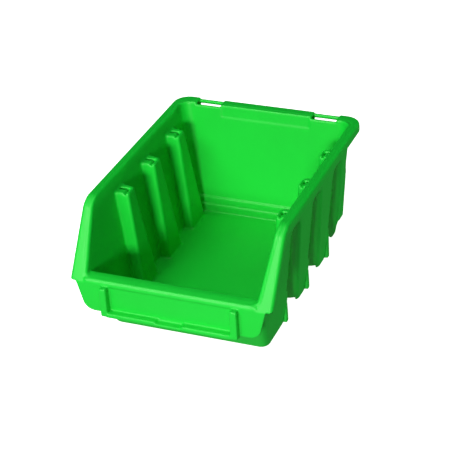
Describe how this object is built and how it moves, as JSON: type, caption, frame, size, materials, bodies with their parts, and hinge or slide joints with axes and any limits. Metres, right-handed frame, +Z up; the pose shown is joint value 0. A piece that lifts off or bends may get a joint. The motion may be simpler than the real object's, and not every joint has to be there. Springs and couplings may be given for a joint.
{
  "type": "stackable storage bin",
  "caption": "Open-fronted stacking parts bin with slanted cheeks, inner stacking ribs, a slotted rear hanging rim and a front label holder.",
  "frame": {"origin": "centre of the bounding box at the height of the floor's underside", "axes": "+Z up; the open pick front faces -Y and the hanging rim is at +Y; +X is on the right of a viewer who faces the pick front"},
  "size_m": [0.116, 0.1604, 0.075],
  "materials": {
    "bin_plastic": "satin moulded polypropylene, bright green, self-coloured"
  },
  "bodies": {
    "root": {"floor": "bin_plastic", "side_wall_left": "bin_plastic", "side_wall_right": "bin_plastic", "rear_wall": "bin_plastic", "rear_step": "bin_plastic", "rear_corner_left": "bin_plastic", "rear_corner_right": "bin_plastic", "front_wall": "bin_plastic", "front_corner_left": "bin_plastic", "front_corner_right": "bin_plastic", "front_lip": "bin_plastic", "label_plate": "bin_plastic", "label_wing_left": "bin_plastic", "label_wing_right": "bin_plastic", "label_post_left": "bin_plastic", "label_post_right": "bin_plastic", "label_ledge": "bin_plastic", "side_rim_left": "bin_plastic", "side_rim_right": "bin_plastic", "slant_rim_left": "bin_plastic", "slant_rim_right": "bin_plastic", "rear_rim_corner_left": "bin_plastic", "rear_rim_corner_right": "bin_plastic", "rear_rim_tab": "bin_plastic", "hang_bar_left": "bin_plastic", "hang_bar_right": "bin_plastic", "rib_left_1": "bin_plastic", "rib_left_2": "bin_plastic", "rib_left_3": "bin_plastic", "rib_right_1": "bin_plastic", "rib_right_2": "bin_plastic", "rib_right_3": "bin_plastic", "lug_left_1": "bin_plastic", "lug_left_2": "bin_plastic", "lug_left_3": "bin_plastic", "lug_right_1": "bin_plastic", "lug_right_2": "bin_plastic", "lug_right_3": "bin_plastic"}
  },
  "joints": []
}
